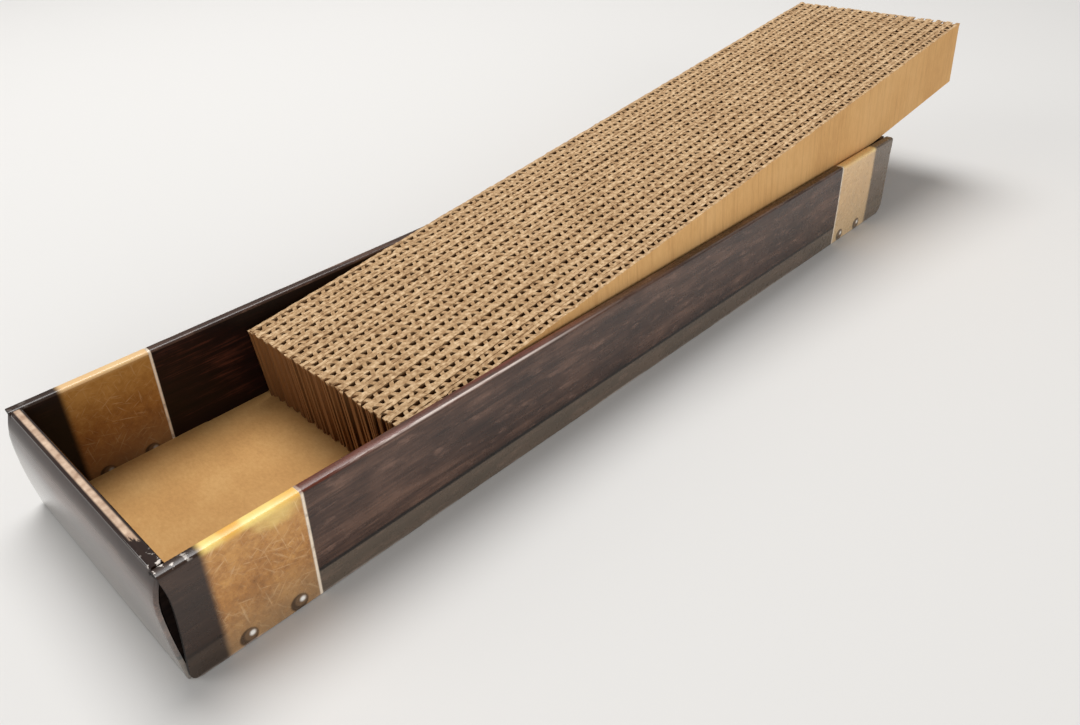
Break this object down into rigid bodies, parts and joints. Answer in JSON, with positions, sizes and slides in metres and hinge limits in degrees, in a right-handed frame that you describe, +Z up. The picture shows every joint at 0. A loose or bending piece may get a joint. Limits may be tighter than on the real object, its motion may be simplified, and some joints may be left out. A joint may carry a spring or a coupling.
{
  "type": "cat scratching board",
  "caption": "Long low tray of folded printed board with rolled double walls, holding a loose pad of corrugated strips that is propped on the rear rim as a sloping scratching surface.",
  "frame": {"origin": "middle of the tray's underside, half way between its end creases", "axes": "+X from the low front end to the rear end where the pad is propped up, +Z up, the right wall on the -Y side"},
  "size_m": [0.5722, 0.126, 0.0981],
  "materials": {
    "printed_board": "gloss laminated print: dark wood planks with brass-coloured bands",
    "kraft_board": "bare brown kraft",
    "corrugated_paper": "cut edges of corrugated kraft paper"
  },
  "bodies": {
    "tray": {"base_panel": "kraft_board", "left_outer_wall": "printed_board", "left_rim": "printed_board", "left_inner_wall": "printed_board", "right_outer_wall": "printed_board", "right_rim": "printed_board", "right_inner_wall": "printed_board", "front_outer_end": "printed_board", "front_rim": "printed_board", "front_inner_end": "printed_board", "front_left_corner_flap": "printed_board", "front_right_corner_flap": "printed_board", "rear_outer_end": "printed_board", "rear_rim": "printed_board", "rear_inner_end": "printed_board", "rear_left_corner_flap": "printed_board", "rear_right_corner_flap": "printed_board"},
    "pad": {"pad_strip_01": "corrugated_paper", "pad_strip_02": "corrugated_paper", "pad_strip_03": "corrugated_paper", "pad_strip_04": "corrugated_paper", "pad_strip_05": "corrugated_paper", "pad_strip_06": "corrugated_paper", "pad_strip_07": "corrugated_paper", "pad_strip_08": "corrugated_paper", "pad_strip_09": "corrugated_paper", "pad_strip_10": "corrugated_paper", "pad_strip_11": "corrugated_paper", "pad_strip_12": "corrugated_paper", "pad_strip_13": "corrugated_paper", "pad_strip_14": "corrugated_paper", "pad_strip_15": "corrugated_paper", "pad_strip_16": "corrugated_paper", "pad_strip_17": "corrugated_paper", "pad_strip_18": "corrugated_paper", "pad_cover_liner": "corrugated_paper"}
  },
  "joints": [
    {"name": "pad_tilt", "type": "hinge", "parent": "tray", "child": "pad", "pos_m": [-0.135, 0, 0.0023], "axis": [0, -1, 0], "range_deg": [0, 82]}
  ]
}
